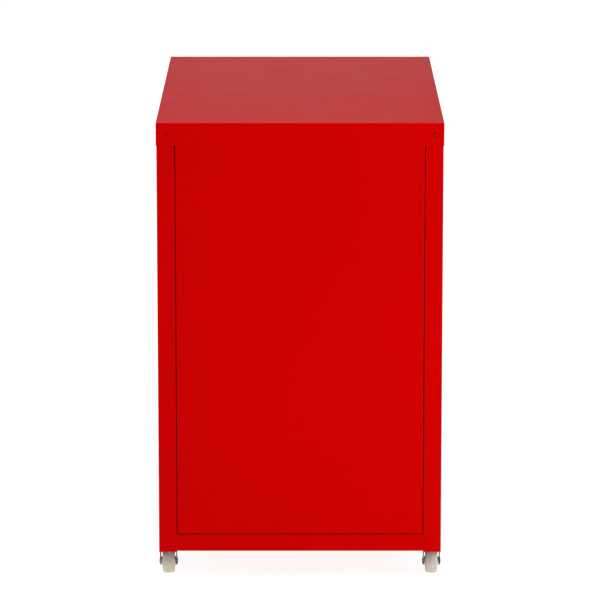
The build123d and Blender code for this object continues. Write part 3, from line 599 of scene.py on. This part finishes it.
def add_lock_nut():
    """Clamping nut with two flats, on the housing's thread."""
    centre = lock_centre()
    rings = []
    for along, radius, flat in (
        (0.8, NUT_HOLE_R, 11.0),
        (0.8, 12.0, 10.8),
        (1.2, 12.4, 11.0),
        (4.4, 12.4, 11.0),
        (4.8, 12.0, 10.8),
        (4.8, NUT_HOLE_R, 11.0),
    ):
        ring = circle("Y", centre, along, radius)
        for point in ring:
            point.x = min(max(point.x, centre.x - flat * MM), centre.x + flat * MM)
        rings.append(ring)
    shell = bmesh.new()
    skin(shell, rings + [rings[0]])
    add_piece("lock_nut", shell, CABINET, "zinc_steel", "case_fasteners")


def keyway_ring(centre, depth):
    """Outline of the keyway with its two wards, with as many points as a turned ring."""
    wide, tall = KEYWAY_HALF_WIDE, KEYWAY_HALF_TALL
    corners = ((wide, 0.0), (wide, tall), (-wide, tall), (-wide, -tall), (wide, -tall), (wide, 0.0))
    counts = (13, 6, 26, 6, 13)  # together ROUND
    points = []
    for (x0, z0), (x1, z1), count in zip(corners, corners[1:], counts):
        for i in range(count):
            x = x0 + (x1 - x0) * i / count
            z = z0 + (z1 - z0) * i / count
            if x == wide and RIGHT_WARD[0] < z < RIGHT_WARD[1]:
                x -= WARD_DEEP
            if x == -wide and LEFT_WARD[0] < z < LEFT_WARD[1]:
                x += WARD_DEEP
            points.append(centre + Vector((x, depth, z)) * MM)
    return points


def add_lock_plug():
    """Plug with a turned groove in its face around the keyway."""
    centre = lock_centre()
    profile = [(18.2, 5.7), (17.9, 6.0), (-1.0, 6.0), (-1.2, 5.8)]
    profile += [(-1.2, 5.3), (-1.0, 5.2), (-1.0, 4.9), (-1.2, 4.8)]
    rings = [circle("Y", centre, along, radius) for along, radius in profile]
    rings += [keyway_ring(centre, depth) for depth in KEYWAY_DEPTHS]
    shell = bmesh.new()
    skin(shell, rings, cap_first=True, cap_last=True)
    add_piece("lock_plug_face", shell, "lock_cylinder", "satin_nickel", "lock_plug")


# ================================================================ caster wheels
def add_wheel(end, side):
    """One-piece moulded wheel: hub, dished web, rounded tread and a fine mould line around it."""
    node = f"caster_wheel_{end}_{side}"
    hub = [(9.6, 2.6), (9.9, 2.9), (9.9, 5.2), (9.5, 5.6)]
    web = [(6.9, 6.5), (6.35, 6.9), (6.2, 7.3), (6.2, 11.0), (6.35, 11.4)]
    tread = [(7.9, 11.9), (8.2, 12.3), *arc((4.4, 12.6), 3.8, 0, 90, 10)]
    mould_line = [(0.3, 16.4), (0.1, 16.5)]
    half = hub + web + tread + mould_line
    profile = half + [(-along, radius) for along, radius in reversed(half)]
    shell = bmesh.new()
    turned(shell, "X", middle_of(node), profile)
    add_piece(f"wheel_{end}_{side}_moulding", shell, f"wheel_{end}_{side}", "wheel_nylon", node)


add_cover_screws()
add_slide_rivets()
add_lock_body()
add_lock_nut()
add_lock_plug()
for drawer in DRAWERS:
    add_drawer_fasteners(drawer)
    add_pull(drawer)
for end in ENDS:
    for side in SIDES:
        add_wheel(end, side)


# ================================================================ studio
CAMERA_BEHIND = 5.139  # from the back panel
CAMERA_ABOVE = 0.80735  # above the top
CAMERA_PITCH = radians(11.499)
CAMERA_LENS = 236.77
SENSOR_WIDTH = 36.0
FAR_CLIP = 100.0
FLOOR_REACH = 30.0
FLOOR_CELLS = 60
CEILING_POWER = 2.3
CEILING_ANGLE = radians(100)
ROOM_GLOW = 0.14
BACKDROP_GLOW = 1.0


def add_floor():
    """One large pale sheet just under the wheels."""
    sheet = bmesh.new()
    bmesh.ops.create_grid(sheet, x_segments=FLOOR_CELLS, y_segments=FLOOR_CELLS, size=FLOOR_REACH)
    mesh = bpy.data.meshes.new("studio_floor")
    sheet.to_mesh(mesh)
    sheet.free()
    mesh.materials.append(floor_paint())
    floor = bpy.data.objects.new("studio_floor", mesh)
    floor.location.z = LOW.z
    bpy.context.scene.collection.objects.link(floor)


def add_softbox(name, place, target, width, power, height=None):
    """A soft rectangular light that faces a point, and that the camera doesn't see."""
    light = bpy.data.lights.new(name, "AREA")
    light.shape = "RECTANGLE"
    light.size = width
    light.size_y = height or width
    light.energy = power
    lamp = bpy.data.objects.new(name, light)
    lamp.location = place
    lamp.rotation_euler = (Vector(target) - Vector(place)).to_track_quat("-Z", "Y").to_euler()
    lamp.visible_camera = False
    bpy.context.scene.collection.objects.link(lamp)


def add_lights():
    """A broad ceiling light, three softboxes behind the back, a top sheen and fill all round."""
    body = (0, 0, TOP_Z / 2)
    ceiling = bpy.data.lights.new("ceiling", "SUN")
    ceiling.energy = CEILING_POWER
    ceiling.angle = CEILING_ANGLE
    lamp = bpy.data.objects.new("ceiling", ceiling)
    bpy.context.scene.collection.objects.link(lamp)
    add_softbox("rear_top", (0.0, 1.5, 2.0), (0, 0.3, TOP_Z), width=1.2, power=16.5)
    strip_aim = (-0.15, BACK_Y, 0.36)
    add_softbox("rear_strip", (-0.65, 0.8, 0.36), strip_aim, width=0.2, power=2.2, height=0.7)
    low_place = (0.0, BACK_Y + 0.65, 0.08)
    add_softbox("rear_low", low_place, (0, BACK_Y, 0.05), width=0.4, power=0.27, height=0.15)
    add_softbox("top_sheen", (0.0, -2.0, 0.75), (0, -0.3, TOP_Z), width=0.6, power=0.3)
    add_softbox("front_left", (-3.0, -2.6, 1.8), body, width=2.0, power=11)
    add_softbox("front_right", (3.0, -2.6, 1.8), body, width=2.0, power=15)
    add_softbox("front_low_left", (-2.6, -2.8, 0.5), body, width=1.0, power=20)
    add_softbox("front_low_right", (2.6, -2.8, 0.5), body, width=1.0, power=30)
    add_softbox("left_fill", (-4.2, 0.6, 2.2), body, width=2.0, power=40)
    add_softbox("right_fill", (4.2, 0.6, 2.2), body, width=2.0, power=30)


def add_world():
    """A dim room that lights the cabinet, seen by the camera as the pale backdrop."""
    world = bpy.data.worlds.new("studio")
    world.use_nodes = True
    tree = world.node_tree
    room = tree.nodes["Background"]
    room.inputs["Color"].default_value = WHITE
    room.inputs["Strength"].default_value = ROOM_GLOW
    backdrop = tree.nodes.new("ShaderNodeBackground")
    backdrop.inputs["Color"].default_value = WHITE
    backdrop.inputs["Strength"].default_value = BACKDROP_GLOW
    rays = tree.nodes.new("ShaderNodeLightPath")
    chosen = tree.nodes.new("ShaderNodeMixShader")
    tree.links.new(rays.outputs["Is Camera Ray"], chosen.inputs["Fac"])
    tree.links.new(room.outputs["Background"], chosen.inputs[1])
    tree.links.new(backdrop.outputs["Background"], chosen.inputs[2])
    tree.links.new(chosen.outputs["Shader"], tree.nodes["World Output"].inputs["Surface"])
    bpy.context.scene.world = world


def add_camera():
    """A long lens behind the cabinet, looking slightly down at its back."""
    data = bpy.data.cameras.new("camera")
    data.lens = CAMERA_LENS
    data.sensor_width = SENSOR_WIDTH
    data.clip_end = FAR_CLIP
    camera = bpy.data.objects.new("camera", data)
    camera.location = (0, BACK_Y + CAMERA_BEHIND, TOP_Z + CAMERA_ABOVE)
    camera.rotation_euler = (pi / 2 - CAMERA_PITCH, 0, pi)
    bpy.context.scene.collection.objects.link(camera)
    bpy.context.scene.camera = camera


add_floor()
add_lights()
add_world()
add_camera()
bpy.context.scene.view_settings.view_transform = "Standard"
